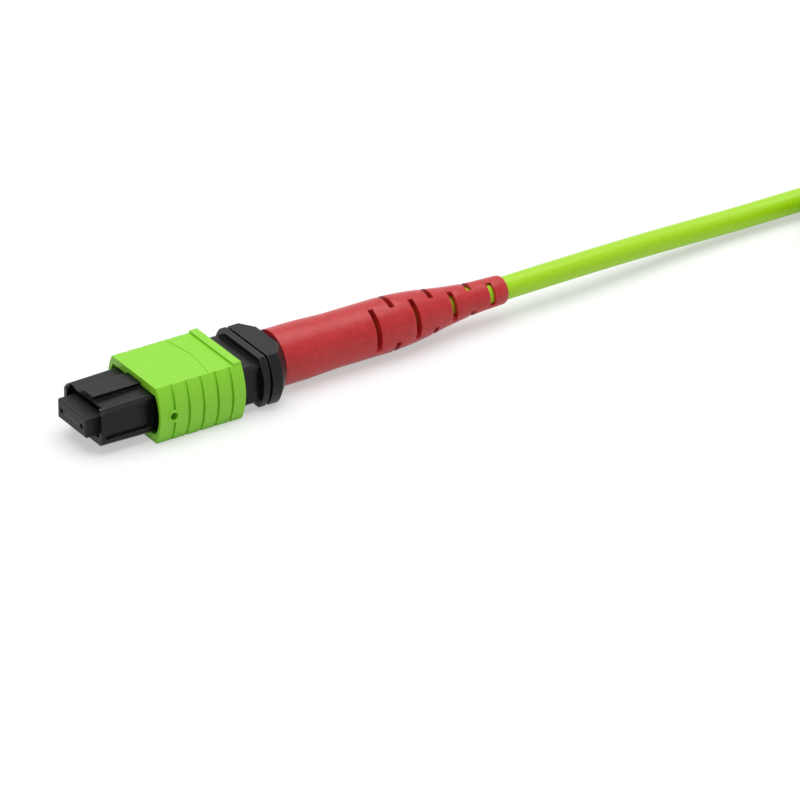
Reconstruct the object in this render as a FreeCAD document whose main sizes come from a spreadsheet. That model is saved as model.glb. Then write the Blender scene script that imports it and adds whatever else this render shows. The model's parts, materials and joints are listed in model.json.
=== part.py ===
import FreeCAD, Part
import math
import os

import Sketcher

V = FreeCAD.Vector

# A multi-fibre push-on (MPO) plug on a 3.0 mm round trunk cable, with the plug of the cable's other end.
#
# Each plug is drawn in its own axes, in millimetres: X runs from the ferrule's end face (X = 0) back along
# the connector towards the cable, Z is up on the key side, and the fibre axis is Y = Z = 0.
SIZES = {
    # MT ferrule
    "ferrule_width": 6.4,
    "ferrule_height": 2.5,
    "ferrule_nose": 6.0,
    "flange_width": 7.0,
    "flange_height": 3.0,
    "flange_depth": 2.0,
    "ferrule_edge": 0.15,
    "pin_bore": 0.7,
    "pin_pitch": 4.6,
    "glue_window_front": 2.6,
    "glue_window_length": 1.8,
    "glue_window_width": 3.4,
    "ribbon_width": 3.1,
    "ribbon_height": 0.36,
    "insert_width": 3.5,
    "insert_height": 1.3,
    "insert_front": 4.8,
    "insert_length": 4.4,
    # pin keeper and main spring
    "keeper_depth": 1.6,
    "keeper_boss": 1.0,
    "keeper_boss_radius": 0.98,
    "spring_length": 7.6,
    "spring_radius": 1.25,
    "spring_wire": 0.36,
    "spring_turns": 5.0,
    "bundle_radius": 0.62,
    "bundle_gap": 0.4,
    "ribbon_slack": 0.8,
    # inner housing
    "nose_front": 1.6,
    "nose_width": 8.7,
    "nose_height": 4.8,
    "roof_front": 2.2,
    "roof_drop": 0.35,
    "stop_wall": 0.9,
    "housing_width": 9.5,
    "housing_height": 5.2,
    "housing_edge": 0.35,
    "key_width": 3.0,
    "key_height": 0.42,
    "key_length": 12.0,
    "funnel_width": 7.4,
    "funnel_bottom": 1.5,
    "funnel_depth": 1.2,
    "latch_front": 2.1,
    "latch_length": 6.3,
    "latch_top": 1.6,
    "latch_bottom": 1.65,
    "latch_depth": 0.25,
    "latch_slot_height": 0.45,
    "latch_slot_depth": 0.2,
    "groove_front": 11.18,
    "groove_length": 8.0,
    "groove_height": 1.14,
    "groove_depth": 0.5,
    "neck_length": 2.8,
    "collar_depth": 0.9,
    # rear block
    "seam": 0.35,
    "seam_inset": 0.45,
    "block_flat": 8.9,
    "block_height": 6.75,
    "block_bulge": 1.3,
    "block_front": 1.45,
    "block_depth": 2.75,
    "block_rear_flat": 5.0,
    "block_rear_bulge": 1.9,
    "hook_front": 19.9,
    "hook_length": 0.9,
    "hook_height": 1.4,
    "hook_reach": 0.6,
    "ring_depth": 0.5,
    "ring_front_radius": 3.25,
    "ring_rear_radius": 2.95,
    "post_radius": 1.7,
    "post_length": 6.1,
    # coupling sleeve
    "sleeve_front": 8.75,
    "sleeve_length": 11.95,
    "sleeve_margin": 0.6,
    "sleeve_height": 7.4,
    "sleeve_bulge": 1.05,
    "mouth_bulge": 0.85,
    "mouth_depth": 1.4,
    "rib_width": 1.1,
    "rib_height": 0.3,
    "grip_front": 1.85,
    "grip_pitch": 2.03,
    "grip_depth": 0.3,
    "grip_gap": 0.35,
    "grips": 5,
    "eye_bore": 1.0,
    "eye_rim": 0.28,
    "eye_raise": 0.12,
    "lug_length": 1.0,
    # coupling springs
    "side_spring_radius": 0.38,
    "side_spring_wire": 0.16,
    "side_spring_turns": 5.0,
    # crimp, yarn and boot
    "yarn_thickness": 0.24,
    "yarn_short": 0.2,
    "crimp_wall": 0.38,
    "crimp_length": 9.0,
    "crimp_room": 0.12,
    "boot_length": 33.3,
    "boot_rim_length": 4.0,
    "boot_cone_length": 4.2,
    "boot_barrel_length": 7.8,
    "boot_swell_length": 7.0,
    "boot_taper_length": 6.5,
    "boot_rim_radius": 3.66,
    "boot_barrel_radius": 3.46,
    "boot_taper_radius": 2.74,
    "boot_neck_radius": 1.96,
    "boot_tail_radius": 1.83,
    "boot_lip": 0.3,
    "boot_swell": 0.12,
    "boot_hollow": 0.09,
    "boot_turn": -22.0,
    "slot_first": 13.5,
    "slot_pitch": 5.8,
    "slot_width": 0.75,
    "slot_root": 0.9,
    "slot_spread": 1.19,
    "side_slots": 4,
    "top_slots": 3,
    # cable, hank and tie
    "cable_radius": 1.5,
    "hank_run": 57.6,
    "hank_inner": 9.0,
    "hank_start": 118.0,
    "hank_middle": -9.6,
    "entry_length": 10.0,
    "ridge_short": 4.35,
    "far_short": 4.0,
    "tie_width": 12.0,
    "tie_thickness": 0.6,
    "tie_start": 20.0,
    # running clearances
    "slide_gap": 0.1,
    "snug_gap": 0.05,
    "seat_gap": 0.02,
}

doc = FreeCAD.newDocument("mpo_connector")
sheet = doc.addObject("Spreadsheet::Sheet", "Size")
for row, (word, number) in enumerate(SIZES.items(), start=1):
    sheet.set(f"A{row}", word)
    sheet.set(f"B{row}", str(number))
    sheet.setAlias(f"B{row}", word)
doc.recompute()


class Dim:
    """A length worked out from the sheet, as its number and as the expression that keeps it live."""

    def __init__(self, value, text):
        self.value = value
        self.text = text

    def joined(self, other, sign, value):
        return Dim(value, f"({self.text} {sign} {dim(other).text})")

    def __add__(self, other):
        return self.joined(other, "+", self.value + dim(other).value)

    def __radd__(self, other):
        return dim(other) + self

    def __sub__(self, other):
        return self.joined(other, "-", self.value - dim(other).value)

    def __rsub__(self, other):
        return dim(other) - self

    def __mul__(self, other):
        return self.joined(other, "*", self.value * dim(other).value)

    def __truediv__(self, other):
        return self.joined(other, "/", self.value / dim(other).value)

    def __neg__(self):
        return Dim(-self.value, f"(0 - {self.text})")


def dim(thing):
    """A Dim from a Dim, a plain number, or the name of a size in the sheet."""
    if isinstance(thing, Dim):
        return thing
    if isinstance(thing, str):
        return Dim(float(sheet.get(thing)), "Size." + thing)
    return Dim(float(thing), str(thing))


def bind(thing, prop, length):
    """Ties one property to the sheet."""
    thing.setExpression(prop, dim(length).text)


# Stations along X that several pieces share
FERRULE_LENGTH = dim("ferrule_nose") + "flange_depth"
SLEEVE_BACK = dim("sleeve_front") + "sleeve_length"
COLLAR_FRONT = SLEEVE_BACK + "neck_length"
HOUSING_BACK = COLLAR_FRONT + "collar_depth"
BLOCK_FRONT = HOUSING_BACK + "seam"
BLOCK_BACK = BLOCK_FRONT + "block_depth"
RING_BACK = BLOCK_BACK + "ring_depth"
POST_BACK = BLOCK_BACK + "post_length"
KEEPER_BACK = FERRULE_LENGTH + "keeper_depth"
SPRING_BACK = KEEPER_BACK + "spring_length"
CRIMP_FRONT = RING_BACK + "slide_gap"
CRIMP_BACK = CRIMP_FRONT + "crimp_length"
OVERALL = RING_BACK + "boot_length"
GROOVE_BACK = dim("groove_front") + "groove_length"
LUG_BACK = dim("groove_front") + "seat_gap" + "lug_length"
NOSE_BACK = dim("groove_front") - "stop_wall"
CRIMP_STEP = POST_BACK + "crimp_room" + "crimp_wall"

# Half sizes and seats that mating pieces share
HALF_HOUSING = dim("housing_width") / 2
HALF_BLOCK = dim("block_flat") / 2
HALF_TALL = dim("housing_height") / 2
HALF_SLEEVE = dim("sleeve_height") / 2
HALF_FLAT = (dim("housing_width") + "sleeve_margin") / 2
SLEEVE_REACH = HALF_FLAT + "sleeve_bulge"
KEY_TOP = HALF_TALL + "key_height"
CAVITY_WIDTH = dim("flange_width") + dim("slide_gap") * 2
CAVITY_HEIGHT = dim("flange_height") + dim("slide_gap") * 2
YARN_RADIUS = dim("post_radius") + "yarn_thickness"
CRIMP_RADIUS = YARN_RADIUS + "crimp_wall"
SIDE_SPRING_Y = HALF_HOUSING + "snug_gap"
CHANNEL_DEPTH = dim("side_spring_radius") + dim("side_spring_wire") / 2 + "snug_gap"
CHANNEL_Y = SIDE_SPRING_Y + CHANNEL_DEPTH


# ---------------------------------------------------------------- drawing helpers


def body(label, place):
    """An empty body, set where its plug lies."""
    made = doc.addObject("PartDesign::Body", label)
    made.Label = label
    for axis, length in zip("xyz", place):
        bind(made, f"Placement.Base.{axis}", length)
    return made


def sketch(owner, plane, offset=0.0):
    """A sketch on one of the body's own origin planes, moved along that plane's normal."""
    made = owner.newObject("Sketcher::SketchObject", "Outline")
    planes = [f for f in owner.Origin.OriginFeatures if f.Role == plane]
    made.AttachmentSupport = [(planes[0], "")]
    made.MapMode = "FlatFace"
    bind(made, "AttachmentOffset.Base.z", offset)
    return made


def hold(drawn, element, position, spot):
    """Fixes one point of a sketch by its two distances from the origin."""
    for way, length in zip(("DistanceX", "DistanceY"), spot):
        length = dim(length)
        number = drawn.addConstraint(Sketcher.Constraint(way, -1, 1, element, position, length.value))
        drawn.setExpression(f"Constraints[{number}]", length.text)


def at(spot):
    return V(dim(spot[0]).value, dim(spot[1]).value, 0)


def outline(drawn, corners, bows=None):
    """A closed outline through corners; a side whose number is in bows is an arc through that spot."""
    bows = bows or {}
    first = drawn.GeometryCount
    count = len(corners)
    for number, corner in enumerate(corners):
        start, end = at(corner), at(corners[(number + 1) % count])
        if number in bows:
            arc = Part.Arc(start, at(bows[number]), end)
            drawn.addGeometry(arc, False)
        else:
            drawn.addGeometry(Part.LineSegment(start, end), False)
    ends = [drawn_ends(drawn, first + number, at(corners[number])) for number in range(count)]
    for number in range(count):
        after = (number + 1) % count
        drawn.addConstraint(
            Sketcher.Constraint("Coincident", first + number, ends[number][1], first + after, ends[after][0])
        )
        hold(drawn, first + number, ends[number][0], corners[number])
    for number, spot in bows.items():
        point = drawn.addGeometry(Part.Point(at(spot)), True)
        hold(drawn, point, 1, spot)
        drawn.addConstraint(Sketcher.Constraint("PointOnObject", point, 1, first + number))


def drawn_ends(drawn, element, start):
    """Which ends of a side are its start and its end, because an arc is always kept anticlockwise."""
    first = drawn.getPoint(element, 1)
    return (1, 2) if first.distanceToPoint(start) < 1e-6 else (2, 1)


def box(drawn, left, bottom, right, top):
    outline(drawn, [(left, bottom), (right, bottom), (right, top), (left, top)])


def centred(drawn, width, height, middle=0.0):
    """A rectangle centred on the sketch's upright axis, with its middle at a height."""
    half_width, half_height = dim(width) / 2, dim(height) / 2
    middle = dim(middle)
    box(drawn, -half_width, middle - half_height, half_width, middle + half_height)


def bevelled(drawn, width, height, bevel):
    """A centred rectangle whose four corners are cut off at 45 degrees."""
    half_width, half_height, bevel = dim(width) / 2, dim(height) / 2, dim(bevel)
    inner_width, inner_height = half_width - bevel, half_height - bevel
    corners = []
    for across, up in ((-1, -1), (1, -1), (1, 1), (-1, 1)):
        level = (inner_width * across, half_height * up)
        upright = (half_width * across, inner_height * up)
        corners += [upright, level] if across * up > 0 else [level, upright]
    outline(drawn, corners)


def disc(drawn, across, up, radius):
    across, up, radius = dim(across), dim(up), dim(radius)
    element = drawn.addGeometry(Part.Circle(V(across.value, up.value, 0), V(0, 0, 1), radius.value), False)
    hold(drawn, element, 3, (across, up))
    number = drawn.addConstraint(Sketcher.Constraint("Radius", element, radius.value))
    drawn.setExpression(f"Constraints[{number}]", radius.text)


def solid(owner, kind, drawn, length, **settings):
    """A pad along the sketch's normal, or a pocket that cuts the same way."""
    made = owner.newObject(kind, kind.split("::")[1])
    made.Profile = drawn
    bind(made, "Length", length)
    made.Reversed = kind == "PartDesign::Pocket"
    for name, value in settings.items():
        setattr(made, name, value)
    drawn.Visibility = False
    return made


def pad(owner, drawn, length, **settings):
    return solid(owner, "PartDesign::Pad", drawn, length, **settings)


def pocket(owner, drawn, length, **settings):
    return solid(owner, "PartDesign::Pocket", drawn, length, **settings)


def bar(owner, front, back, draw, *spot):
    """A pad between two stations of X, drawn in the plane across the connector."""
    drawn = sketch(owner, "YZ_Plane", front)
    draw(drawn, *spot)
    return pad(owner, drawn, dim(back) - front)


def cut(owner, front, back, draw, *spot):
    """A pocket between two stations of X."""
    drawn = sketch(owner, "YZ_Plane", front)
    draw(drawn, *spot)
    return pocket(owner, drawn, dim(back) - front)


def loft(owner, kind, front, back):
    """A straight-sided solid, added or cut, between two closed outlines."""
    made = owner.newObject(kind, "Loft")
    made.Profile = front
    made.Sections = [back]
    made.Ruled = True
    front.Visibility = back.Visibility = False
    return made


def both_sides(owner, *features):
    """The same features again on the other side of the XZ plane."""
    made = owner.newObject("PartDesign::Mirrored", "Mirrored")
    made.Originals = list(features)
    planes = [f for f in owner.Origin.OriginFeatures if f.Role == "XZ_Plane"]
    made.MirrorPlane = (planes[0], [""])
    owner.Tip = made
    return made


def repeat(owner, feature, count, pitch):
    """A row of one feature along X."""
    row = owner.newObject("PartDesign::LinearPattern", "Row")
    row.Originals = [feature]
    lines = [f for f in owner.Origin.OriginFeatures if f.Role == "X_Axis"]
    row.Direction = (lines[0], [""])
    bind(row, "Occurrences", count)
    bind(row, "Length", dim(pitch) * (dim(count) - 1))
    owner.Tip = row
    return row


def edges_near(shape, wanted):
    """Names of the edges whose middle passes the test."""
    names = []
    for number, edge in enumerate(shape.Edges, start=1):
        middle = edge.valueAt((edge.FirstParameter + edge.LastParameter) / 2)
        if wanted(middle, edge):
            names.append(f"Edge{number}")
    return names


def dress(owner, kind, length, wanted):
    """A fillet or chamfer on the edges of the body's last shape that pass the test."""
    doc.recompute()
    base = owner.Tip
    made = owner.newObject(kind, kind.split("::")[1])
    made.Base = (base, edges_near(base.Shape, wanted))
    bind(made, "Radius" if kind.endswith("Fillet") else "Size", length)
    return made


def lens(half_flat, tall, bulge):
    """A flat top and bottom with sides that bow outwards: drawing function for the shell's cross-section."""
    half_tall = dim(tall) / 2
    reach = half_flat + bulge

    def draw(drawn):
        corners = [
            (-half_flat, -half_tall),
            (half_flat, -half_tall),
            (half_flat, half_tall),
            (-half_flat, half_tall),
        ]
        outline(drawn, corners, {1: (reach, 0.0), 3: (-reach, 0.0)})

    return draw


# ---------------------------------------------------------------- ferrule group


def ferrule(label, place):
    """MT ferrule: nose, rear flange, two guide-pin bores, glue window and the seat of its soft insert."""
    made = body(label, place)
    bar(made, 0.0, "ferrule_nose", centred, "ferrule_width", "ferrule_height")
    bar(made, "ferrule_nose", FERRULE_LENGTH, centred, "flange_width", "flange_height")
    face = dim("ferrule_edge")
    dress(made, "PartDesign::Chamfer", face, lambda middle, edge: middle.x < 1e-6)
    for side in (-1, 1):
        cut(made, 0.0, FERRULE_LENGTH, disc, dim("pin_pitch") * (side / 2), 0.0, dim("pin_bore") / 2)
    window = sketch(made, "XY_Plane", 0.0)
    half = dim("glue_window_width") / 2
    front = dim("glue_window_front")
    box(window, front, -half, front + "glue_window_length", half)
    pocket(made, window, dim("ferrule_height") / 2)
    cut(made, 0.0, FERRULE_LENGTH, centred, "ribbon_width", "ribbon_height")
    cut(made, "insert_front", FERRULE_LENGTH, centred, "insert_width", "insert_height")
    return made


def ribbon(label, place):
    """Twelve fibres: a flat ribbon through the ferrule and insert, then a round bundle to the cable."""
    made = body(label, place)
    flat_back = dim("insert_front") + "insert_length"
    bar(made, 0.0, flat_back, centred, dim("ribbon_width") - "seat_gap", dim("ribbon_height") - "seat_gap")
    bar(made, flat_back, POST_BACK - "ribbon_slack", disc, 0.0, 0.0, "bundle_radius")
    return made


def insert(label, place):
    """Soft boot in the back of the ferrule that holds the ribbon."""
    made = body(label, place)
    back = dim("insert_front") + "insert_length"
    bar(made, "insert_front", back, centred, "insert_width", "insert_height")
    cut(made, "insert_front", back, centred, "ribbon_width", "ribbon_height")
    return made


def keeper(label, place):
    """Pin keeper: a plate behind the ferrule flange, with the boss that centres the main spring."""
    made = body(label, place)
    bar(made, FERRULE_LENGTH, KEEPER_BACK, centred, "flange_width", "flange_height")
    bar(made, KEEPER_BACK, KEEPER_BACK + "keeper_boss", disc, 0.0, 0.0, "keeper_boss_radius")
    insert_back = dim("insert_front") + "insert_length"
    cut(made, FERRULE_LENGTH, insert_back, centred, "insert_width", "insert_height")
    cut(made, insert_back, KEEPER_BACK + "keeper_boss", disc, 0.0, 0.0, dim("bundle_radius") + "snug_gap")
    return made


# ---------------------------------------------------------------- springs


def spring(label, place, front, back, radius, wire, turns, across):
    """A compression spring along X, resting on its seats; its six-sided wire keeps it light."""
    front, back = dim(front), dim(back)
    wire_radius = dim(wire) / 2
    coil = doc.addObject("Part::Helix", label + "_path")
    bind(coil, "Radius", radius)
    bind(coil, "Height", back - front - wire_radius * 2)
    bind(coil, "Pitch", (back - front - wire_radius * 2) / turns)
    section = doc.addObject("Part::RegularPolygon", label + "_wire")
    section.Polygon = 6
    bind(section, "Circumradius", wire_radius)
    bind(section, "Placement.Base.x", radius)
    section.Placement.Rotation = FreeCAD.Rotation(V(1, 0, 0), 90)
    made = doc.addObject("Part::Sweep", label)
    made.Label = label
    doc.recompute()
    made.Sections = [section]
    made.Spine = (coil, ["Edge1"])
    made.Solid = True
    made.Frenet = True
    made.Placement.Rotation = FreeCAD.Rotation(V(0, 1, 0), 90)
    spot = (dim(place[0]) + front + wire_radius, dim(place[1]) + across, dim(place[2]))
    for axis, length in zip("xyz", spot):
        bind(made, f"Placement.Base.{axis}", length)
    return made


# ---------------------------------------------------------------- inner housing


def housing(label, place):
    """Inner housing: drafted nose with a flared mouth, key, latch pockets, spring grooves, rear collar."""
    made = body(label, place)
    bar(made, NOSE_BACK, HOUSING_BACK, bevelled, "housing_width", "housing_height", "housing_edge")
    front = sketch(made, "YZ_Plane", "nose_front")
    bevelled(front, "nose_width", "nose_height", "housing_edge")
    back = sketch(made, "YZ_Plane", NOSE_BACK)
    bevelled(back, "nose_width", "housing_height", "housing_edge")
    loft(made, "PartDesign::AdditiveLoft", front, back)
    half_key = dim("key_width") / 2
    key_back = dim("roof_front") + "key_length"
    bar(made, "roof_front", key_back, box, -half_key, 0.0, half_key, KEY_TOP)
    bar(made, COLLAR_FRONT, HOUSING_BACK, lens(HALF_BLOCK, "block_height", "block_bulge"))
    spring_grooves(made)
    housing_insides(made)
    latch_pockets(made)
    return made


def spring_grooves(made):
    """The groove in each side that holds a coupling spring and stops the sleeve's lug."""
    half = dim("groove_height") / 2
    floor, outside = HALF_HOUSING - "groove_depth", HALF_HOUSING + "slide_gap"
    drawn = sketch(made, "YZ_Plane", "groove_front")
    box(drawn, floor, -half, outside, half)
    box(drawn, -outside, -half, -floor, half)
    pocket(made, drawn, "groove_length")


def housing_insides(made):
    """Opening for the ferrule nose, the flared mouth, the cavity and the windows of the snap hooks."""
    gap = dim("slide_gap") * 2
    throat_width, throat_height = dim("ferrule_width") + gap, dim("ferrule_height") + gap
    cut(made, "nose_front", "ferrule_nose", centred, throat_width, throat_height)
    cut(made, "ferrule_nose", HOUSING_BACK, centred, CAVITY_WIDTH, CAVITY_HEIGHT)
    half_mouth, floor = dim("funnel_width") / 2, -dim("funnel_bottom")
    cut(made, "nose_front", "roof_front", box, -half_mouth, floor, half_mouth, HALF_TALL)
    level = dim("nose_height") / 2
    set_back = dim("roof_front") - "nose_front"
    brow = sketch(made, "XZ_Plane", -HALF_HOUSING)
    outline(brow, [("nose_front", level - set_back), ("roof_front", level), ("nose_front", level)])
    pocket(made, brow, "housing_width")
    mouth = sketch(made, "YZ_Plane", "roof_front")
    box(mouth, -half_mouth, floor, half_mouth, level - "roof_drop")
    throat = sketch(made, "YZ_Plane", dim("roof_front") + "funnel_depth")
    centred(throat, throat_width, throat_height)
    loft(made, "PartDesign::SubtractiveLoft", mouth, throat)
    window = sketch(made, "XZ_Plane", -HALF_HOUSING - "block_bulge")
    half_window = dim("hook_height") / 2 + "slide_gap"
    front = dim("hook_front") - "slide_gap"
    back = dim("hook_front") + "hook_length" + "slide_gap"
    box(window, front, -half_window, back, half_window)
    pocket(made, window, (HALF_HOUSING + "block_bulge") * 2)


def latch_pockets(made):
    """A shallow pocket in each side of the nose, with the deeper slot along its lower ledge."""
    front = dim("latch_front")
    back = front + "latch_length"
    bottom = -dim("latch_bottom")
    half_nose = dim("nose_width") / 2
    wall = sketch(made, "XZ_Plane", half_nose - "latch_depth")
    slope = dim("latch_depth")
    box(wall, front, bottom, back, "latch_top")
    shallow = pocket(made, wall, slope)
    slot = sketch(made, "XZ_Plane", half_nose - "latch_depth" - "latch_slot_depth")
    box(slot, front + slope, bottom, back - slope, bottom + "latch_slot_height")
    deep = pocket(made, slot, dim("latch_slot_depth") + "latch_depth")
    both_sides(made, shallow, deep)


# ---------------------------------------------------------------- coupling sleeve


def sleeve(label, place):
    """Coupling sleeve: bowed shell with grip bands, rear rib, round eyes, keyway and spring lugs."""
    made = body(label, place)
    bar(made, "sleeve_front", SLEEVE_BACK, lens(HALF_FLAT, "sleeve_height", "sleeve_bulge"))
    rib_front, rib_top = SLEEVE_BACK - "rib_width", HALF_SLEEVE + "rib_height"
    bar(made, rib_front, SLEEVE_BACK, box, -HALF_FLAT, 0.0, HALF_FLAT, rib_top)
    gap = dim("slide_gap")
    half_mouth, tall = HALF_HOUSING + gap, dim("housing_height") + gap * 2
    cut(made, "sleeve_front", SLEEVE_BACK, centred, half_mouth * 2, tall)
    cut(made, "sleeve_front", dim("sleeve_front") + "mouth_depth", lens(half_mouth, tall, "mouth_bulge"))
    half_key = dim("key_width") / 2 + gap
    cut(made, "sleeve_front", SLEEVE_BACK, box, -half_key, 0.0, half_key, KEY_TOP + "snug_gap")
    half = dim("groove_height") / 2
    cut(made, LUG_BACK, SLEEVE_BACK, box, -CHANNEL_Y, -half, CHANNEL_Y, half)
    lug_front = dim("groove_front") + "seat_gap"
    lug_foot = HALF_HOUSING - "groove_depth" + "snug_gap"
    lug = bar(made, lug_front, LUG_BACK, box, lug_foot, gap - half, HALF_FLAT, half - gap)
    both_sides(made, lug)
    grips(made)
    eyes(made)
    return made


def grips(made):
    """Five upright grooves on each side, which follow the bow of the shell and part the grip bands."""
    drawn = sketch(made, "YZ_Plane", dim("sleeve_front") + "grip_front")
    top = HALF_SLEEVE + "slide_gap"
    inside = HALF_FLAT - dim("grip_depth") / 2
    outside = SLEEVE_REACH + "grip_gap"
    floor = SLEEVE_REACH - "grip_depth"
    outline(drawn, [(inside, -top), (outside, -top), (outside, top), (inside, top)], {3: (floor, 0.0)})
    outline(drawn, [(-inside, top), (-outside, top), (-outside, -top), (-inside, -top)], {3: (-floor, 0.0)})
    groove = pocket(made, drawn, "grip_gap")
    repeat(made, groove, "grips", "grip_pitch")


def eyes(made):
    """A small raised ring on each side, in the first grip, with a hole through the shell."""
    across = dim("sleeve_front") + "grip_front"
    rim = sketch(made, "XZ_Plane", HALF_FLAT)
    disc(rim, across, 0.0, dim("eye_bore") / 2 + "eye_rim")
    raised = pad(made, rim, dim("sleeve_bulge") + "eye_raise")
    hole = sketch(made, "XZ_Plane", HALF_HOUSING)
    disc(hole, across, 0.0, dim("eye_bore") / 2)
    bore = pocket(made, hole, SLEEVE_REACH + "eye_raise" - HALF_HOUSING)
    both_sides(made, raised, bore)


# ---------------------------------------------------------------- rear block, crimp and boot


def spring_push(label, place):
    """Rear block: snap-in body with two hooks, bowed flange, cone and the hollow crimp post."""
    made = body(label, place)
    gap = dim("slide_gap") * 2
    bar(made, SPRING_BACK, BLOCK_FRONT, centred, CAVITY_WIDTH - gap, CAVITY_HEIGHT - gap)
    inset = dim("seam_inset")
    seam = lens(HALF_BLOCK - inset, dim("block_height") - inset * 2, "block_bulge")
    bar(made, HOUSING_BACK, BLOCK_FRONT, seam)
    flange(made)
    cone = sketch(made, "XZ_Plane", 0.0)
    corners = [
        (BLOCK_BACK - "ring_depth", 0.0),
        (BLOCK_BACK - "ring_depth", "ring_front_radius"),
        (BLOCK_BACK, "ring_front_radius"),
        (RING_BACK, "ring_rear_radius"),
        (RING_BACK, "post_radius"),
        (POST_BACK, "post_radius"),
        (POST_BACK, 0.0),
    ]
    outline(cone, corners)
    turned = made.newObject("PartDesign::Revolution", "Post")
    turned.Profile = cone
    lines = [f for f in made.Origin.OriginFeatures if f.Role == "X_Axis"]
    turned.ReferenceAxis = (lines[0], [""])
    turned.Angle = 360.0
    half_body = CAVITY_WIDTH / 2 - "slide_gap"
    half_hook = dim("hook_height") / 2
    front = dim("hook_front")
    hook = sketch(made, "XY_Plane", -half_hook)
    corners = [
        (front, half_body - "slide_gap"),
        (front + "hook_length", half_body - "slide_gap"),
        (front + "hook_length", half_body + "hook_reach"),
        (front + dim("hook_length") / 2, half_body + "hook_reach"),
        (front, half_body),
    ]
    outline(hook, corners)
    snap = pad(made, hook, "hook_height")
    both_sides(made, snap)
    cut(made, SPRING_BACK, POST_BACK, disc, 0.0, 0.0, dim("bundle_radius") + "bundle_gap")
    return made


def flange(made):
    """The bowed flange, whose sides draw in towards the boot over its rear half."""
    waist = BLOCK_FRONT + "block_front"
    bar(made, BLOCK_FRONT, waist, lens(HALF_BLOCK, "block_height", "block_bulge"))
    front = sketch(made, "YZ_Plane", waist)
    lens(HALF_BLOCK, "block_height", "block_bulge")(front)
    back = sketch(made, "YZ_Plane", BLOCK_BACK)
    lens(dim("block_rear_flat") / 2, "block_height", "block_rear_bulge")(back)
    loft(made, "PartDesign::AdditiveLoft", front, back)


def revolved(owner, drawn):
    """Turns a half outline about the connector's axis."""
    made = owner.newObject("PartDesign::Revolution", "Turned")
    made.Profile = drawn
    lines = [f for f in owner.Origin.OriginFeatures if f.Role == "X_Axis"]
    made.ReferenceAxis = (lines[0], [""])
    made.Angle = 360.0
    drawn.Visibility = False
    return made


def yarn(label, place):
    """Strength yarn folded back over the crimp post."""
    made = body(label, place)
    back = POST_BACK - "yarn_short"
    bar(made, CRIMP_FRONT, back, disc, 0.0, 0.0, YARN_RADIUS)
    cut(made, CRIMP_FRONT, back, disc, 0.0, 0.0, "post_radius")
    return made


def crimp_ring(label, place):
    """Crimp ring: wide over the yarn and post, narrow on the cable jacket."""
    made = body(label, place)
    wide = YARN_RADIUS + "seat_gap"
    narrow = dim("cable_radius") + "seat_gap"
    wall = dim("crimp_wall")
    drawn = sketch(made, "XZ_Plane", 0.0)
    corners = [
        (CRIMP_FRONT, CRIMP_RADIUS + "seat_gap"),
        (CRIMP_STEP, CRIMP_RADIUS + "seat_gap"),
        (CRIMP_STEP, narrow + wall),
        (CRIMP_BACK, narrow + wall),
        (CRIMP_BACK, narrow),
        (CRIMP_STEP - wall, narrow),
        (CRIMP_STEP - wall, wide),
        (CRIMP_FRONT, wide),
    ]
    outline(drawn, corners)
    revolved(made, drawn)
    return made


def jacket_end(label, place):
    """The last of the cable's jacket, from the crimp ring to the end of the boot."""
    made = body(label, place)
    bar(made, CRIMP_STEP + "slide_gap", OVERALL, disc, 0.0, 0.0, "cable_radius")
    return made


def boot(label, place):
    """Bend relief: a turned sleeve that tapers to the cable, cut by slots that alternate round it."""
    made = body(label, place)
    made.Placement.Rotation = FreeCAD.Rotation(V(1, 0, 0), SIZES["boot_turn"])
    made.setExpression("Placement.Rotation.Angle", "Size.boot_turn")
    drawn = sketch(made, "XZ_Plane", 0.0)
    wide = CRIMP_RADIUS + "slide_gap"
    narrow = dim("cable_radius") + "snug_gap"
    bore_step = CRIMP_BACK + "slide_gap"
    rim_back = RING_BACK + "boot_rim_length"
    barrel_front = rim_back + "boot_cone_length"
    barrel_back = barrel_front + "boot_barrel_length"
    taper_front = barrel_back + "boot_swell_length"
    taper_back = taper_front + "boot_taper_length"
    corners = [
        (RING_BACK, "boot_rim_radius"),
        (rim_back, "boot_rim_radius"),
        (barrel_front, "boot_barrel_radius"),
        (barrel_back, "boot_barrel_radius"),
        (taper_front, "boot_taper_radius"),
        (taper_back, "boot_neck_radius"),
        (OVERALL - "boot_lip", "boot_tail_radius"),
        (OVERALL, dim("boot_tail_radius") - dim("boot_lip") / 2),
        (OVERALL, narrow),
        (bore_step, narrow),
        (bore_step, wide),
        (RING_BACK, wide),
    ]
    half_swell = (dim("boot_barrel_radius") + "boot_taper_radius") / 2
    half_taper = (dim("boot_taper_radius") + "boot_neck_radius") / 2
    bows = {
        3: ((barrel_back + taper_front) / 2, half_swell + "boot_swell"),
        4: ((taper_front + taper_back) / 2, half_taper - "boot_hollow"),
    }
    outline(drawn, corners, bows)
    revolved(made, drawn)
    first = RING_BACK + "slot_first"
    slots(made, first, "side_slots", lambda across, up: (across, up))
    slots(made, first + dim("slot_pitch") / 2, "top_slots", lambda across, up: (up, across))
    return made


def slots(made, middle, count, turn):
    """A row of slots cut from two opposite sides, whose ends point at the axis."""
    near, far = dim("slot_root"), dim("boot_rim_radius") + "slide_gap"
    drawn = sketch(made, "YZ_Plane", middle - dim("slot_width") / 2)
    for side in (-1, 1):
        corners = [(near, -near * "slot_spread"), (far, -far * "slot_spread"),
                   (far, far * "slot_spread"), (near, near * "slot_spread")]
        outline(drawn, [turn(across * side, up) for across, up in corners])
    cuts = pocket(made, drawn, "slot_width")
    repeat(made, cuts, count, "slot_pitch")


# ---------------------------------------------------------------- one whole plug


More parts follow.
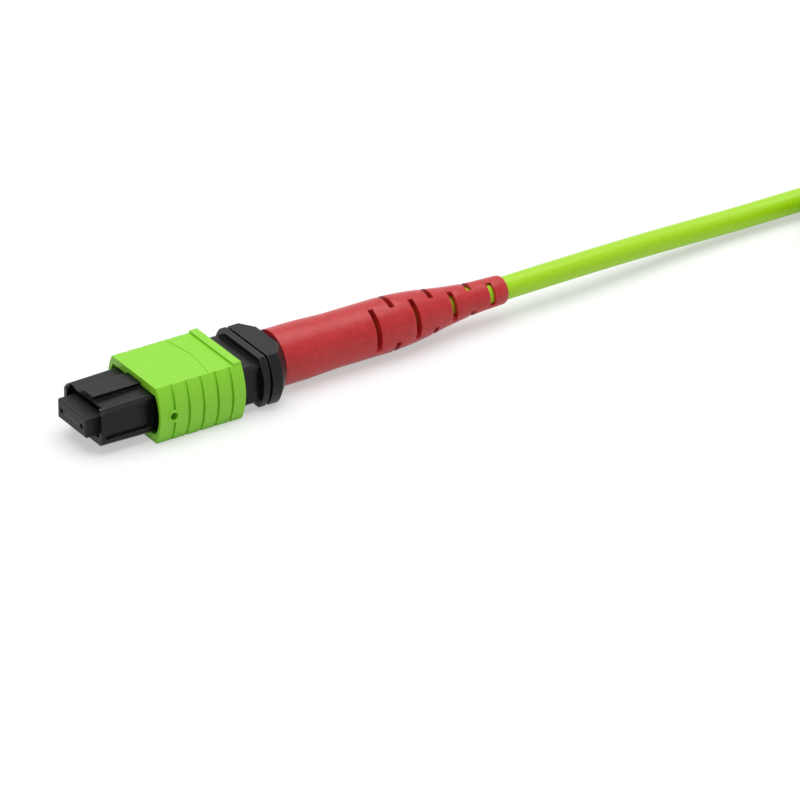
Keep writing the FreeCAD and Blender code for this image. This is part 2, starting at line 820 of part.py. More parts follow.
def plug(prefix, place):
    """All the pieces of one plug at their places."""
    pieces = [
        ferrule(prefix + "mt_ferrule", place),
        ribbon(prefix + "fibre_ribbon", place),
        insert(prefix + "ferrule_boot", place),
        keeper(prefix + "pin_keeper", place),
        spring(
            prefix + "main_spring", place, KEEPER_BACK, SPRING_BACK,
            "spring_radius", "spring_wire", dim("spring_turns"), 0.0,
        ),
        housing(prefix + "inner_housing", place),
        sleeve(prefix + "coupling_sleeve", place),
        spring_push(prefix + "spring_push", place),
        yarn(prefix + "strength_yarn", place),
        crimp_ring(prefix + "crimp_ring", place),
        boot(prefix + "boot", place),
        jacket_end(prefix + "jacket_end", place),
    ]
    for side, across in (("left", SIDE_SPRING_Y), ("right", -SIDE_SPRING_Y)):
        pieces.append(
            spring(
                prefix + "coupling_spring_" + side, place, LUG_BACK, GROOVE_BACK,
                "side_spring_radius", "side_spring_wire", dim("side_spring_turns"), across,
            )
        )
    return pieces


# ---------------------------------------------------------------- cable, hank and tie


CABLE = dim("cable_radius")
HANK_TOP = dim("tie_thickness") + CABLE * 4
HANK_OUTER = dim("hank_inner") + CABLE * 2
HANK_BETWEEN = dim("hank_inner") + CABLE
HANK_END = dim("hank_start") + "hank_run"
ENTRY_Y = dim("hank_middle") + HANK_OUTER
RIDGE_Y = dim("hank_middle") + HANK_BETWEEN
RIDGE_END = HANK_END - "ridge_short"
FAR_Y = dim("hank_middle") - HANK_BETWEEN
FAR_Z = HANK_TOP + "snug_gap" + HALF_SLEEVE
FAR_X = HANK_END - "far_short" - OVERALL


def hank(label, place):
    """The outer shape of four turns of cable, two beside and two on each other, and the turn laid on top."""
    made = body(label, place)
    middle = dim("hank_middle")
    start = dim("hank_start")
    ring = sketch(made, "XY_Plane", "tie_thickness")
    for radius in (HANK_OUTER + CABLE, dim("hank_inner") - CABLE):
        corners = [
            (start, middle - radius),
            (HANK_END, middle - radius),
            (HANK_END, middle + radius),
            (start, middle + radius),
        ]
        outline(ring, corners, {1: (HANK_END + radius, middle), 3: (start - radius, middle)})
    pad(made, ring, CABLE * 4)
    dress(made, "PartDesign::Fillet", CABLE * 0.8, lambda spot, edge: True)
    bar(made, start - "entry_length", start, disc, ENTRY_Y, CABLE + "tie_thickness", CABLE)
    climb = sketch(made, "XZ_Plane", -RIDGE_Y - CABLE)
    corners = [
        (start - CABLE, HANK_TOP - CABLE),
        (start + CABLE * 6, HANK_TOP + CABLE * 2),
        (RIDGE_END, HANK_TOP + CABLE * 2),
        (RIDGE_END, HANK_TOP - CABLE),
    ]
    outline(climb, corners)
    pad(made, climb, CABLE * 2)
    return made


def tie(label, place):
    """Hook-and-loop band round one side of the hank."""
    made = body(label, place)
    start = dim("hank_start") + "tie_start"
    wall = dim("tie_thickness")
    left = dim("hank_middle") + "hank_inner" - CABLE
    right = ENTRY_Y + CABLE
    top = HANK_TOP + CABLE * 2
    bar(made, start, start + "tie_width", box, left - wall, wall - wall, right + wall, top + wall)
    cut(made, start, start + "tie_width", box, left, wall, right, top)
    return made


def run_of_cable(label, points, place):
    """A round tube along straight runs joined by tangent arcs, each as wide as its two runs allow."""
    spots = [V(*(dim(length).value for length in point)) for point in points]
    path, here, length = [], spots[0], 0.0
    for before, corner, after in zip(spots, spots[1:], spots[2:]):
        coming, going = corner - before, after - corner
        reach = 0.45 * min(coming.Length, going.Length)
        turn = coming.getAngle(going)
        radius = reach / math.tan(turn / 2)
        coming.normalize()
        going.normalize()
        first, last = corner - coming * reach, corner + going * reach
        inward = (going - coming).normalize()
        crest = corner + inward * (radius / math.cos(turn / 2) - radius)
        path.append(Part.LineSegment(here, first).toShape())
        path.append(Part.Arc(first, crest, last).toShape())
        length += here.distanceToPoint(first) + radius * turn
        here = last
        print(f"{label}: bend radius {radius:.1f} mm, turn {math.degrees(turn):.1f} degrees")
    path.append(Part.LineSegment(here, spots[-1]).toShape())
    length += here.distanceToPoint(spots[-1])
    radius = CABLE.value
    section = Part.Wire([Part.Circle(spots[0], spots[1] - spots[0], radius).toShape()])
    swept = Part.Wire(path).makePipeShell([section], True, False)
    made = doc.addObject("Part::Feature", label)
    made.Label = label
    made.Shape = swept
    for axis, offset in zip("xyz", place):
        bind(made, f"Placement.Base.{axis}", offset)
    expected = math.pi * radius**2 * length
    print(f"{label}: length {length:.1f} mm, volume {swept.Volume:.1f} of {expected:.1f} mm3")
    return made


def lead():
    """The stretch from the first plug to the hank: straight out, then a gentle drift down and aside."""
    return [
        (OVERALL, 0.0, HALF_SLEEVE),
        (OVERALL + 12.0, 0.45, HALF_SLEEVE - 0.1),
        (OVERALL + 24.7, 1.75, HALF_SLEEVE - 0.95),
        (dim("hank_start") - "entry_length" - 11.0, ENTRY_Y, CABLE + "tie_thickness"),
        (dim("hank_start") - "entry_length", ENTRY_Y, CABLE + "tie_thickness"),
    ]


def tail():
    """The last fold, from the top of the hank round its end and up into the far plug."""
    middle = dim("hank_middle")
    corner = HANK_BETWEEN / math.cos(math.pi / 8)
    wide, narrow = corner * math.cos(math.pi / 8), corner * math.sin(math.pi / 8)
    low, high = HANK_TOP + CABLE, FAR_Z
    climb = high - low
    return [
        (RIDGE_END, RIDGE_Y, low),
        (HANK_END + narrow, middle + wide, low + climb * 0.1),
        (HANK_END + wide, middle + narrow, low + climb * 0.4),
        (HANK_END + wide, middle - narrow, low + climb * 0.75),
        (HANK_END + narrow, middle - wide, high),
        (FAR_X + OVERALL, FAR_Y, high),
    ]


# ---------------------------------------------------------------- the whole assembly

NEAR = (-OVERALL / 2, dim(0.0), HALF_SLEEVE)
FAR = (FAR_X - OVERALL / 2, FAR_Y, FAR_Z)
ON_FLOOR = (-OVERALL / 2, dim(0.0), dim(0.0))

parts = plug("", NEAR) + plug("far_", FAR)
parts.append(run_of_cable("cable", lead(), ON_FLOOR))
parts.append(hank("cable_hank", ON_FLOOR))
parts.append(tie("hank_tie", ON_FLOOR))
parts.append(run_of_cable("cable_tail", tail(), ON_FLOOR))

doc.recompute()
for thing in doc.Objects:
    if "Invalid" in thing.State or "Error" in thing.State:
        raise RuntimeError(f"{thing.Label} ({thing.TypeId}) failed: {thing.State}")
os.makedirs("parts", exist_ok=True)
for part in parts:
    shape = part.Shape
    if shape.isNull() or not shape.isValid() or len(shape.Solids) != 1:
        raise RuntimeError(f"{part.Label} is not one valid solid")
    shape.exportStep(f"parts/{part.Label}.step")
    print(f"{part.Label}: {shape.Volume:.2f} mm3")
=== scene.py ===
"""The looks of a multi-fibre push-on plug and its cable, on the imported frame. Lengths are in metres."""

import json
import math

import bmesh
import bpy
from mathutils import Matrix, Vector


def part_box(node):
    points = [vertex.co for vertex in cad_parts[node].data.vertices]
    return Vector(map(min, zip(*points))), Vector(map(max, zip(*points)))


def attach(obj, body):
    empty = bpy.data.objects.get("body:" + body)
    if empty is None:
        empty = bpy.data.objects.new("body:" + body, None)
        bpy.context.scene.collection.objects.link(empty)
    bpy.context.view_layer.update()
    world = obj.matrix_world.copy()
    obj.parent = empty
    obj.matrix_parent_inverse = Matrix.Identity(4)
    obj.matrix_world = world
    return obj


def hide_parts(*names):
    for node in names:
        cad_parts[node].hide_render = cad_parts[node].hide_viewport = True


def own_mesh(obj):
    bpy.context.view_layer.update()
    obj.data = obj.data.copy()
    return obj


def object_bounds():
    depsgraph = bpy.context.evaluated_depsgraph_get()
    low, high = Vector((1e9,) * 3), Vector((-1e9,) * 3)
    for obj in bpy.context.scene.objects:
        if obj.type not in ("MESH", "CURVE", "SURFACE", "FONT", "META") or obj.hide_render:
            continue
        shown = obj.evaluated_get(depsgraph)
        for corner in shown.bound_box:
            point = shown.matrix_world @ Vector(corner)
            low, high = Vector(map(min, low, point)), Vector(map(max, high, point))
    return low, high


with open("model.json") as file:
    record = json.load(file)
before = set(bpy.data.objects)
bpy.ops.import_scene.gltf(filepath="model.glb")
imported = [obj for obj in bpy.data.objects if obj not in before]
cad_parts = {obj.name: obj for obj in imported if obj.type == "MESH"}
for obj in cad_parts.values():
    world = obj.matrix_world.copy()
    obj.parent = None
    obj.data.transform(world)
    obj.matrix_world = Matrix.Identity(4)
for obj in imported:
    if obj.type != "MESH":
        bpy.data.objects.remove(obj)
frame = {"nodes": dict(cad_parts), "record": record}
cad_box = [list(corner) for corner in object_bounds()]

MM = 0.001


def placed(name, data):
    """A new object in the scene."""
    made = bpy.data.objects.new(name, data)
    bpy.context.scene.collection.objects.link(made)
    return made


def middle(node):
    """The centre of a node's box."""
    low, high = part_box(node)
    return (low + high) / 2


def tip(prefix):
    """The centre of a plug's ferrule face."""
    ferrule = prefix + "mt_ferrule"
    return Vector((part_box(ferrule)[0].x, middle(ferrule).y, middle(ferrule).z))


TIP = tip("")
FAR_TIP = tip("far_")
CABLE_RADIUS = (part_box("jacket_end")[1].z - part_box("jacket_end")[0].z) / 2

# ---------------------------------------------------------------- camera, floor and light

CAMERA_AZIMUTH = math.radians(-32.77)
CAMERA_ELEVATION = math.radians(28.4)
CAMERA_DISTANCE = 1.03834
CAMERA_LENS = 392.2
# The picture's centre, from the ferrule's tip, across and up in the picture's plane.
AIM_ASIDE, AIM_UP = 0.03915, 0.002207

FILL = 0.42
SUN = 2.5
SUN_SPREAD = math.radians(64)
SUN_TILT = (math.radians(-4), math.radians(5), 0.0)
# The floor's grey where it is seen, its grey where it lights the part, and its glow where it is seen.
FLOOR_GREY = 0.48
FLOOR_BOUNCE = 0.82
FLOOR_GLOW = 0.46
FLOOR_SIZE = 12.0
FLOOR_DROP = 0.02 * MM
SEEN_OR_MIRRORED = ("Is Camera Ray", "Is Glossy Ray", "Is Transmission Ray")


def camera():
    """A long lens on a level three-quarter view of the nose."""
    turn, lift = CAMERA_AZIMUTH, CAMERA_ELEVATION
    aside = Vector((math.cos(turn), math.sin(turn), 0.0))
    up = Vector((-math.sin(turn) * math.sin(lift), math.cos(turn) * math.sin(lift), math.cos(lift)))
    back = aside.cross(up)
    made = placed("camera", bpy.data.cameras.new("camera"))
    made.data.lens = CAMERA_LENS
    made.data.clip_start = 0.01
    made.location = TIP + aside * AIM_ASIDE + up * AIM_UP + back * CAMERA_DISTANCE
    made.rotation_euler = Matrix((aside, up, back)).transposed().to_euler()
    bpy.context.scene.camera = made


def by_ray(tree, kinds, usual, special):
    """A number that is usual, and special for the given kinds of ray."""
    path = tree.nodes.new("ShaderNodeLightPath")
    chosen = path.outputs[kinds[0]]
    for kind in kinds[1:]:
        either = tree.nodes.new("ShaderNodeMath")
        either.operation = "MAXIMUM"
        tree.links.new(chosen, either.inputs[0])
        tree.links.new(path.outputs[kind], either.inputs[1])
        chosen = either.outputs[0]
    level = tree.nodes.new("ShaderNodeMapRange")
    tree.links.new(chosen, level.inputs["Value"])
    level.inputs["To Min"].default_value = usual
    level.inputs["To Max"].default_value = special
    return level.outputs["Result"]


def floor():
    """A pale floor that keeps soft shadows, and is white wherever it is seen or mirrored."""
    level = cad_box[0][2] - FLOOR_DROP
    bpy.ops.mesh.primitive_plane_add(size=FLOOR_SIZE, location=(0.0, 0.0, level))
    made = bpy.context.object
    made.name = "floor"
    finish = bpy.data.materials.new("pale_floor")
    finish.use_nodes = True
    tree = finish.node_tree
    tree.nodes.clear()
    matt = tree.nodes.new("ShaderNodeBsdfDiffuse")
    grey = by_ray(tree, ("Is Diffuse Ray",), FLOOR_GREY, FLOOR_BOUNCE)
    tree.links.new(grey, matt.inputs["Color"])
    glow = tree.nodes.new("ShaderNodeEmission")
    tree.links.new(by_ray(tree, SEEN_OR_MIRRORED, 0.0, FLOOR_GLOW), glow.inputs["Strength"])
    both = tree.nodes.new("ShaderNodeAddShader")
    tree.links.new(matt.outputs[0], both.inputs[0])
    tree.links.new(glow.outputs[0], both.inputs[1])
    out = tree.nodes.new("ShaderNodeOutputMaterial")
    tree.links.new(both.outputs[0], out.inputs["Surface"])
    made.data.materials.append(finish)


def light():
    """A broad overhead sun and an even fill. The world is white wherever it is seen or mirrored."""
    sun = placed("overhead", bpy.data.lights.new("overhead", "SUN"))
    sun.data.energy = SUN
    sun.data.angle = SUN_SPREAD
    sun.rotation_euler = SUN_TILT
    world = bpy.data.worlds.new("studio")
    bpy.context.scene.world = world
    world.use_nodes = True
    tree = world.node_tree
    backdrop = tree.nodes["Background"]
    backdrop.inputs["Color"].default_value = (1.0, 1.0, 1.0, 1.0)
    tree.links.new(by_ray(tree, SEEN_OR_MIRRORED, FILL, 1.0), backdrop.inputs["Strength"])


# ---------------------------------------------------------------- materials

FIBRE_PITCH = 0.25 * MM
# A wave texture of scale 1 has a band every tau / 20.
WAVE_PITCH = math.tau / 20
# How alike the rounded and the true normal are, where an edge's painted highlight is full and where there
# is none.
FULL_HIGHLIGHT, NO_HIGHLIGHT = 0.75, 0.97
# How far short of its least slope a painted edge highlight fades out.
SLOPE_FADE = 0.35


class Finish:
    """A procedural material with one Principled shader, patterned in the object's own coordinates."""

    def __init__(self, name, sockets=None):
        self.material = bpy.data.materials.new(name)
        self.material.use_nodes = True
        self.tree = self.material.node_tree
        self.shader = self.tree.nodes["Principled BSDF"]
        self.place = self.tree.nodes.new("ShaderNodeTexCoord").outputs["Object"]
        self.relief = None
        for socket, value in (sockets or {}).items():
            self.shader.inputs[socket].default_value = value

    def node(self, kind, **inputs):
        """A new node, with each named input linked to a socket or set to a value."""
        made = self.tree.nodes.new("ShaderNode" + kind)
        for name, value in inputs.items():
            socket = made.inputs[name]
            if isinstance(value, bpy.types.NodeSocket):
                self.tree.links.new(value, socket)
            else:
                socket.default_value = value
        return made

    def stretched(self, along, across, up):
        """Object coordinates scaled on each axis, so that a pattern runs with the part."""
        return self.node("Mapping", Vector=self.place, Scale=(along, across, up)).outputs["Vector"]

    def noise(self, size, detail=3.0, vector=None):
        """Cloudy noise whose blotches are about size across."""
        made = self.node("TexNoise", Vector=vector or self.place, Scale=1.0 / size, Detail=detail)
        return made.outputs["Fac"]

    def cells(self, size, vector=None):
        """Distance to the nearest of many scattered points, about size apart."""
        made = self.node("TexVoronoi", Vector=vector or self.place, Scale=1.0 / size)
        return made.outputs["Distance"]

    def bands(self, pitch):
        """Stripes across the part, a pitch apart, with a gap on its axis."""
        made = self.node("TexWave", Vector=self.place, Scale=WAVE_PITCH / pitch)
        made.bands_direction = "Y"
        return made.outputs["Fac"]

    def spread(self, value, low, high, start=0.3, end=0.7):
        """value, from start to end, as a number from low to high."""
        ends = {"From Min": start, "From Max": end, "To Min": low, "To Max": high}
        return self.node("MapRange", Value=value, **ends).outputs["Result"]

    def tint(self, value, dark, pale, start=0.3, end=0.7):
        """Base colour from dark to pale, as value goes from start to end."""
        ramp = self.node("ValToRGB", Fac=value)
        stops = (start, dark), (end, pale)
        for stop, (position, colour) in zip(ramp.color_ramp.elements, stops):
            stop.position = position
            stop.color = (*colour, 1.0)
        self.tree.links.new(ramp.outputs["Color"], self.shader.inputs["Base Color"])

    def painted_edge_highlights(self, radius, colour, least_lit_slope=-1.0):
        """Painted highlight: a paler colour along the sharp edges whose normal's Z is the given least
        slope or more, standing in for the light those edges catch.
        """
        rounded = self.node("Bevel", Radius=radius).outputs["Normal"]
        true = self.node("NewGeometry").outputs["Normal"]
        match = self.node("VectorMath")
        match.operation = "DOT_PRODUCT"
        slope = self.node("SeparateXYZ", Vector=rounded).outputs["Z"]
        # How strongly each spot gets the painted edge highlight.
        highlight = self.node("Math")
        highlight.operation = "MULTIPLY"
        link = self.tree.links.new
        link(rounded, match.inputs[0])
        link(true, match.inputs[1])
        link(self.spread(match.outputs["Value"], 1.0, 0.0, FULL_HIGHLIGHT, NO_HIGHLIGHT), highlight.inputs[0])
        link(self.spread(slope, 0.0, 1.0, least_lit_slope - SLOPE_FADE, least_lit_slope), highlight.inputs[1])
        base = self.shader.inputs["Base Color"]
        mix = self.node("MixRGB", Fac=highlight.outputs["Value"], Color2=(*colour, 1.0))
        link(base.links[0].from_socket, mix.inputs["Color1"])
        link(mix.outputs["Color"], base)

    def gloss(self, value, low, high):
        """Roughness between two numbers."""
        self.tree.links.new(self.spread(value, low, high), self.shader.inputs["Roughness"])

    def bump(self, height, depth, strength=1.0):
        """Raises the surface by height times depth, on top of any earlier bump."""
        made = self.node("Bump", Height=height, Distance=depth, Strength=strength)
        if self.relief:
            self.tree.links.new(self.relief, made.inputs["Normal"])
        self.relief = made.outputs["Normal"]
        self.tree.links.new(self.relief, self.shader.inputs["Normal"])


def black_plastic():
    """Moulded black, glass-filled: satin with a fine grain, faint flow clouds and a painted highlight
    along its upward-facing edges.
    """
    made = Finish("black_plastic", {"Specular IOR Level": 0.22})
    made.tint(made.noise(0.9 * MM), (0.0025, 0.0025, 0.0027), (0.005, 0.005, 0.0055))
    # Painted highlight: pale grey along the sharp edges that face up.
    made.painted_edge_highlights(0.1 * MM, (0.16, 0.16, 0.165), least_lit_slope=0.45)
    made.gloss(made.noise(0.5 * MM), 0.28, 0.38)
    made.bump(made.noise(0.11 * MM, 4.0), 0.006 * MM)
    return made.material


def ferrule_grey():
    """Dark grey glass-filled moulding with a pale speckle and a painted highlight along its sharp edges.
    """
    made = Finish("ferrule_grey", {"Specular IOR Level": 0.16})
    made.tint(made.noise(0.07 * MM, 4.0), (0.010, 0.010, 0.0105), (0.026, 0.026, 0.027))
    # Painted highlight: pale grey along all its sharp edges.
    made.painted_edge_highlights(0.07 * MM, (0.15, 0.15, 0.155))
    made.gloss(made.noise(0.4 * MM), 0.36, 0.5)
    made.bump(made.noise(0.09 * MM, 3.0), 0.004 * MM)
    return made.material


def lime_plastic():
    """Lime moulding from a spark-eroded mould: a fine stipple, slightly uneven colour."""
    made = Finish("lime_plastic", {"Specular IOR Level": 0.5})
    made.tint(made.noise(0.22 * MM, 5.0), (0.215, 0.585, 0.010), (0.255, 0.65, 0.024))
    made.gloss(made.noise(0.3 * MM), 0.42, 0.56)
    made.bump(made.cells(0.16 * MM), 0.012 * MM, 0.7)
    made.bump(made.noise(0.08 * MM, 4.0), 0.008 * MM)
    return made.material


def red_rubber():
    """Red elastomer: a soft sheen over a very fine skin."""
    made = Finish("red_rubber", {"Specular IOR Level": 0.36})
    made.tint(made.noise(0.8 * MM, 4.0), (0.43, 0.014, 0.016), (0.51, 0.024, 0.026))
    made.gloss(made.noise(0.5 * MM), 0.28, 0.4)
    made.bump(made.noise(0.14 * MM, 4.0), 0.008 * MM)
    return made.material


def lime_jacket():
    """Extruded jacket: smooth, with faint clouds and a fine drag grain."""
    made = Finish("lime_jacket", {"Specular IOR Level": 0.36})
    made.tint(made.noise(0.4 * MM, 4.0), (0.345, 0.635, 0.004), (0.375, 0.685, 0.009))
    made.gloss(made.noise(0.3 * MM), 0.3, 0.36)
    made.bump(made.noise(0.12 * MM, 4.0), 0.003 * MM)
    return made.material


def glass_fibre():
    """Twelve fibres side by side in a dark matrix, cut and polished at the end face."""
    made = Finish("glass_fibre", {"Roughness": 0.3, "Specular IOR Level": 0.2})
    fibres = made.bands(FIBRE_PITCH)
    made.tint(fibres, (0.008, 0.008, 0.009), (0.025, 0.028, 0.03), 0.55, 0.95)
    made.bump(fibres, 0.004 * MM)
    return made.material


def soft_insert():
    """Dull dark elastomer."""
    made = Finish("soft_insert")
    made.tint(made.noise(0.3 * MM), (0.012, 0.012, 0.013), (0.03, 0.03, 0.032))
    made.gloss(made.noise(0.2 * MM), 0.6, 0.8)
    made.bump(made.noise(0.1 * MM), 0.01 * MM)
    return made.material


def spring_steel():
    """Drawn wire and blanked sheet."""
    made = Finish("spring_steel", {"Metallic": 1.0})
    made.tint(made.noise(0.3 * MM), (0.46, 0.46, 0.47), (0.62, 0.61, 0.59))
    made.gloss(made.noise(0.12 * MM), 0.2, 0.36)
    made.bump(made.noise(0.05 * MM), 0.002 * MM)
    return made.material


def crimp_metal():
    """Plain turned sleeve: fine rings round the axis."""
    made = Finish("crimp_metal", {"Metallic": 1.0})
    made.tint(made.noise(0.4 * MM), (0.55, 0.53, 0.49), (0.7, 0.68, 0.63))
    made.gloss(made.noise(0.3 * MM), 0.22, 0.38)
    made.bump(made.noise(0.1 * MM, 2.0, made.stretched(1.0, 0.02, 0.02)), 0.006 * MM)
    return made.material


def aramid():
    """Golden yarn laid along the cable."""
    made = Finish("aramid", {"Sheen Weight": 0.3})
    strands = made.noise(0.12 * MM, 3.0, made.stretched(0.06, 1.0, 1.0))
    made.tint(strands, (0.42, 0.26, 0.04), (0.8, 0.6, 0.16))
    made.gloss(strands, 0.4, 0.6)
    made.bump(strands, 0.06 * MM)
    return made.material


def tie_fabric():
    """Black hook-and-loop tape: a felt of small loops."""
    made = Finish("tie_fabric", {"Sheen Weight": 0.35, "Sheen Roughness": 0.5})
    loops = made.cells(0.28 * MM)
    made.tint(loops, (0.035, 0.035, 0.038), (0.008, 0.008, 0.009), 0.0, 0.6)
    made.gloss(made.noise(0.3 * MM), 0.75, 0.95)
    made.bump(loops, 0.12 * MM, 0.8)
    made.bump(made.noise(0.06 * MM, 5.0), 0.05 * MM)
    return made.material


MAKERS = (
    black_plastic,
    ferrule_grey,
    lime_plastic,
    red_rubber,
    lime_jacket,
    glass_fibre,
    soft_insert,
    spring_steel,
    crimp_metal,
    aramid,
    tie_fabric,
)
FINISHES = {maker.__name__: maker() for maker in MAKERS}

# The rounding, the least angle of an edge that gets it, and how close two points count as one.
SOFT_EDGE = 0.07 * MM
SHARP = math.radians(32)
SAME_SPOT = 0.001 * MM


def paint(made, slot):
    """Gives a new piece the finish of a slot of the record."""
    made.data.materials.clear()
    made.data.materials.append(FINISHES[slot])


def soften(made):
    """Rounds the sharp edges of a rubber piece."""
    joined = made.modifiers.new("joined", "WELD")
    joined.merge_threshold = SAME_SPOT
    edges = made.modifiers.new("soft_edges", "BEVEL")
    edges.width = SOFT_EDGE
    edges.segments = 2
    edges.limit_method = "ANGLE"
    edges.angle_limit = SHARP
    made.modifiers.new("flat_faces", "WEIGHTED_NORMAL").weight = 100


def dress_frame():
    """Every CAD node takes its own slot's finish, and the boots get soft edges."""
    for entry in frame["record"]["subparts"]:
        node = frame["nodes"][entry["node"]]
        for socket in node.material_slots:
            socket.material = FINISHES[entry["material_slot"]]
        if entry["material_slot"] == "red_rubber":
            soften(node)


# ---------------------------------------------------------------- fine moulded lines

# The sleeve's grips and eye, as in the part's source.
GRIP_FRONT, GRIP_PITCH, GRIP_GAP, GRIPS = 1.85 * MM, 2.03 * MM, 0.35 * MM, 5
EYE_RADIUS, EYE_RAISE = 0.78 * MM, 0.12 * MM
# The V's point ahead of the sleeve's rear, and its arms' reach forward and to each side.
CHEVRON_BACK, CHEVRON_DEPTH, CHEVRON_REACH = 3.75 * MM, 0.7 * MM, 4.7 * MM
# Width and height of each line.
CHEVRON_LINE = (0.17 * MM, 0.085 * MM)
PARTING_LINE = (0.12 * MM, 0.065 * MM)


def new_piece(name, mesh, body, slot):
    """A finished bmesh as an object with a finish, riding on a body."""
    bmesh.ops.recalc_face_normals(mesh, faces=mesh.faces)
    data = bpy.data.meshes.new(name)
    mesh.to_mesh(data)
    mesh.free()
    made = placed(name, data)
    paint(made, slot)
    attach(made, body)
    return made


def ridge(mesh, start, end, outward, width, height):
    """A low roof-shaped ridge between two spots of a surface, its foot sunk a little into it."""
    aside = (end - start).cross(outward).normalized() * (width / 2)
    section = (-aside - outward * height, outward * height, aside - outward * height)
    first = [mesh.verts.new(start + offset) for offset in section]
    last = [mesh.verts.new(end + offset) for offset in section]
    mesh.faces.new(first)
    mesh.faces.new(reversed(last))
    for one, two in ((0, 1), (1, 2), (2, 0)):
        mesh.faces.new((first[one], last[one], last[two], first[two]))


def sleeve_lines(prefix):
    """The shallow V moulded across a coupling sleeve's top, and the parting line on its sides."""
    low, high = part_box(prefix + "coupling_sleeve")
    axis = tip(prefix)
    # The box's top is that of the rear rim, so the main top is found from the flat underside.
    top = 2 * axis.z - low.z
    mesh = bmesh.new()
    point = Vector((high.x - CHEVRON_BACK, axis.y, top))
    gaps = [low.x + GRIP_FRONT + number * GRIP_PITCH for number in range(GRIPS)]
    starts = [low.x + GRIP_FRONT + EYE_RADIUS] + [gap + GRIP_GAP for gap in gaps[1:]]
    ends = gaps[1:] + [high.x]
    for side in (-1, 1):
        foot = point + Vector((-CHEVRON_DEPTH, side * CHEVRON_REACH, 0.0))
        ridge(mesh, point, foot, Vector((0.0, 0.0, 1.0)), *CHEVRON_LINE)
        reach = axis.y + side * ((high.y - low.y) / 2 - EYE_RAISE)
        for start, end in zip(starts, ends):
            front, rear = Vector((start, reach, axis.z)), Vector((end, reach, axis.z))
            ridge(mesh, front, rear, Vector((0.0, side, 0.0)), *PARTING_LINE)
    new_piece(prefix + "sleeve_lines", mesh, prefix + "sleeve", "lime_plastic")


# ---------------------------------------------------------------- springs

# Each spring, and the joint that shortens it.
SPRINGS = {
    "main_spring": "ferrule_float",
    "coupling_spring_left": "sleeve_slide",
    "coupling_spring_right": "sleeve_slide",
}


def spring_coils(prefix):
    """Each coil as a steel piece with its own copy of the spring's mesh, riding on the plug body in place
    of the CAD spring.
    """
    coils = []
    for name, joint in SPRINGS.items():
        node = frame["nodes"][prefix + name]
        coil = placed(prefix + name + "_coil", node.data.copy())
        paint(coil, "spring_steel")
        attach(coil, "plug_body")
        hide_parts(prefix + name)
        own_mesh(coil)
        coils.append(coil)
    return coils


# ---------------------------------------------------------------- the cable

# The ends of the hank's straight runs, in X from the ferrule's face, and its middle in Y.
HANK_START, HANK_END = 0.118, 0.1756
HANK_MIDDLE = -0.0096
# Radii of its end folds: the inner and outer runs, and the single run on top.
HANK_INNER, HANK_OUTER, HANK_TOP_RADIUS = 0.009, 0.012, 0.0105
# Height of the lowest layer's centre line, and from one layer to the next.
LOW = 0.0021
LAYER = 2 * CABLE_RADIUS
FOLD_STEPS = 12
# The shares of the last fold between which it climbs to the far boot.
CLIMB = (0.05, 0.95)

# The way to the hank: X from the ferrule's face, Y, and Z above the floor.
LEAD = [
    (0.0613, 0.0, 0.0037),
    (0.0733, 0.00045, 0.0036),
    (0.0860, 0.00175, 0.00275),
    (0.0970, 0.0024, 0.0021),
    (0.1080, 0.0024, 0.0021),
]


def eased(share, start, end):
    """0 before start, 1 after end, and smooth between them."""
    x = min(1.0, max(0.0, (share - start) / (end - start)))
    return x * x * (3.0 - 2.0 * x)


def fold(centre, side, bend, height):
    """Half a turn round one end of the hank, of radius bend(share) and height(share)."""
    # A quadratic curve touches the middles of its control polygon's sides, so its corners lie out.
    swell = 1.0 / math.cos(math.pi / FOLD_STEPS / 2)
    for step in range(FOLD_STEPS + 1):
        share = step / FOLD_STEPS
        angle = math.pi * share
        radius = bend(share) * (1.0 if step in (0, FOLD_STEPS) else swell)
        across = side * radius * math.cos(angle)
        yield (centre + side * radius * math.sin(angle), HANK_MIDDLE + across, height(share))


def cable_route():
    """The lead, four turns of the hank in two layers, and a last half turn up to the far boot."""
    # Each turn: its radius, its height, and from where to where in the return fold it moves over.
    turns = (
        (HANK_OUTER, LOW, 0.70, 0.98),
        (HANK_INNER, LOW, 0.50, 0.78),
        (HANK_INNER, LOW + LAYER, 0.32, 0.60),
        (HANK_OUTER, LOW + LAYER, 0.08, 0.42),
    )
    top = (HANK_TOP_RADIUS, LOW + 2 * LAYER)
    points = list(LEAD)
    for now, after in zip(turns, (*turns[1:], top)):
        radius, height, start, end = now
        points += fold(HANK_END, 1, lambda share: radius, lambda share: height)
        points += fold(
            HANK_START,
            -1,
            lambda share: radius + (after[0] - radius) * eased(share, start, end),
            lambda share: height + (after[1] - height) * eased(share, start, end),
        )
    rise = FAR_TIP.z - top[1]
    points += fold(
        HANK_END,
        1,
        lambda share: top[0],
        lambda share: top[1] + rise * eased(share, *CLIMB),
    )
    points.append((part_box("far_boot")[1].x - TIP.x, FAR_TIP.y, FAR_TIP.z))
    return points


TAPE_START, TAPE_WIDTH = 0.138, 0.012
TAPE_THICKNESS = 0.42 * MM
TAPE_ROUNDING = 0.12 * MM
TAPE_GAP = 0.01 * MM
TURN_STEPS = 8


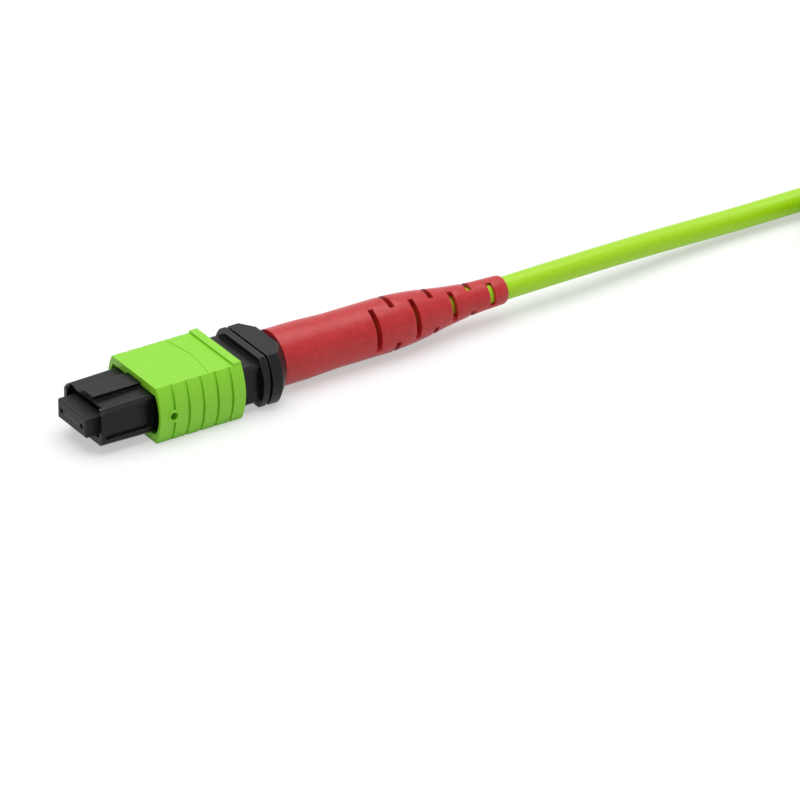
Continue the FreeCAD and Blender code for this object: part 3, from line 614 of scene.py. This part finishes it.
def wrapped():
    """The tape's path round the five runs on one side of the hank, as spots and outward directions."""
    near, far = HANK_MIDDLE + HANK_OUTER, HANK_MIDDLE + HANK_INNER
    top = HANK_MIDDLE + HANK_TOP_RADIUS
    runs = [(near, LOW), (near, LOW + LAYER), (top, LOW + 2 * LAYER), (far, LOW + LAYER), (far, LOW)]
    inner = CABLE_RADIUS + TAPE_GAP
    outer = inner + TAPE_THICKNESS + TAPE_GAP
    count = len(runs)
    for number in range(1, count + 3):
        before, here, after = (Vector(runs[(number + step) % count]) for step in (-1, 0, 1))
        turns = [math.atan2(-way.x, way.y) for way in (here - before, after - here)]
        coming, going = turns[0], turns[0] + (turns[1] - turns[0]) % math.tau
        for step in range(TURN_STEPS + 1):
            angle = coming + (going - coming) * step / TURN_STEPS
            radius = inner + (outer - inner) * eased(number + step / TURN_STEPS, count, count + 1)
            outward = Vector((0.0, math.cos(angle), math.sin(angle)))
            yield Vector((0.0, here.x, here.y)) + outward * radius, outward


def strap():
    """A hook-and-loop tape wound one and a third times round one side of the hank."""
    half, rounding, thick = TAPE_WIDTH / 2, TAPE_ROUNDING, TAPE_THICKNESS
    section = [
        (-half, rounding),
        (rounding - half, 0.0),
        (half - rounding, 0.0),
        (half, rounding),
        (half, thick - rounding),
        (half - rounding, thick),
        (rounding - half, thick),
        (-half, thick - rounding),
    ]
    mesh = bmesh.new()
    centre = Vector((TIP.x + TAPE_START + half, 0.0, 0.0))
    rings = []
    for spot, outward in wrapped():
        ring = [centre + spot + Vector((along, 0.0, 0.0)) + outward * lift for along, lift in section]
        rings.append([mesh.verts.new(place) for place in ring])
    for ring, after in zip(rings, rings[1:]):
        for one in range(len(section)):
            two = (one + 1) % len(section)
            mesh.faces.new((ring[one], ring[two], after[two], after[one]))
    mesh.faces.new(rings[0])
    mesh.faces.new(reversed(rings[-1]))
    made = new_piece("hank_strap", mesh, "plug_body", "tie_fabric")
    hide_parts("hank_tie")
    return made


def cable(far_coils):
    """The whole free cable, from one boot to the other, with the far plug at its end."""
    data = bpy.data.curves.new("trunk_cable", "CURVE")
    data.dimensions = "3D"
    spline = data.splines.new("NURBS")
    points = cable_route()
    spline.points.add(len(points) - 1)
    for point, (along, across, above) in zip(spline.points, points):
        point.co = (TIP.x + along, across, above, 1.0)
    spline.order_u = 3
    spline.use_endpoint_u = True
    spline.resolution_u = 8
    data.bevel_depth = CABLE_RADIUS
    data.bevel_resolution = 6
    data.use_fill_caps = True
    made = placed("trunk_cable", data)
    paint(made, "lime_jacket")
    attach(made, "plug_body")
    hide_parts("cable", "cable_hank", "cable_tail")
    strap()


# ---------------------------------------------------------------- the scene

bpy.context.scene.view_settings.view_transform = "Standard"
camera()
floor()
light()
dress_frame()
for plug in ("", "far_"):
    sleeve_lines(plug)
spring_coils("")
cable(spring_coils("far_"))
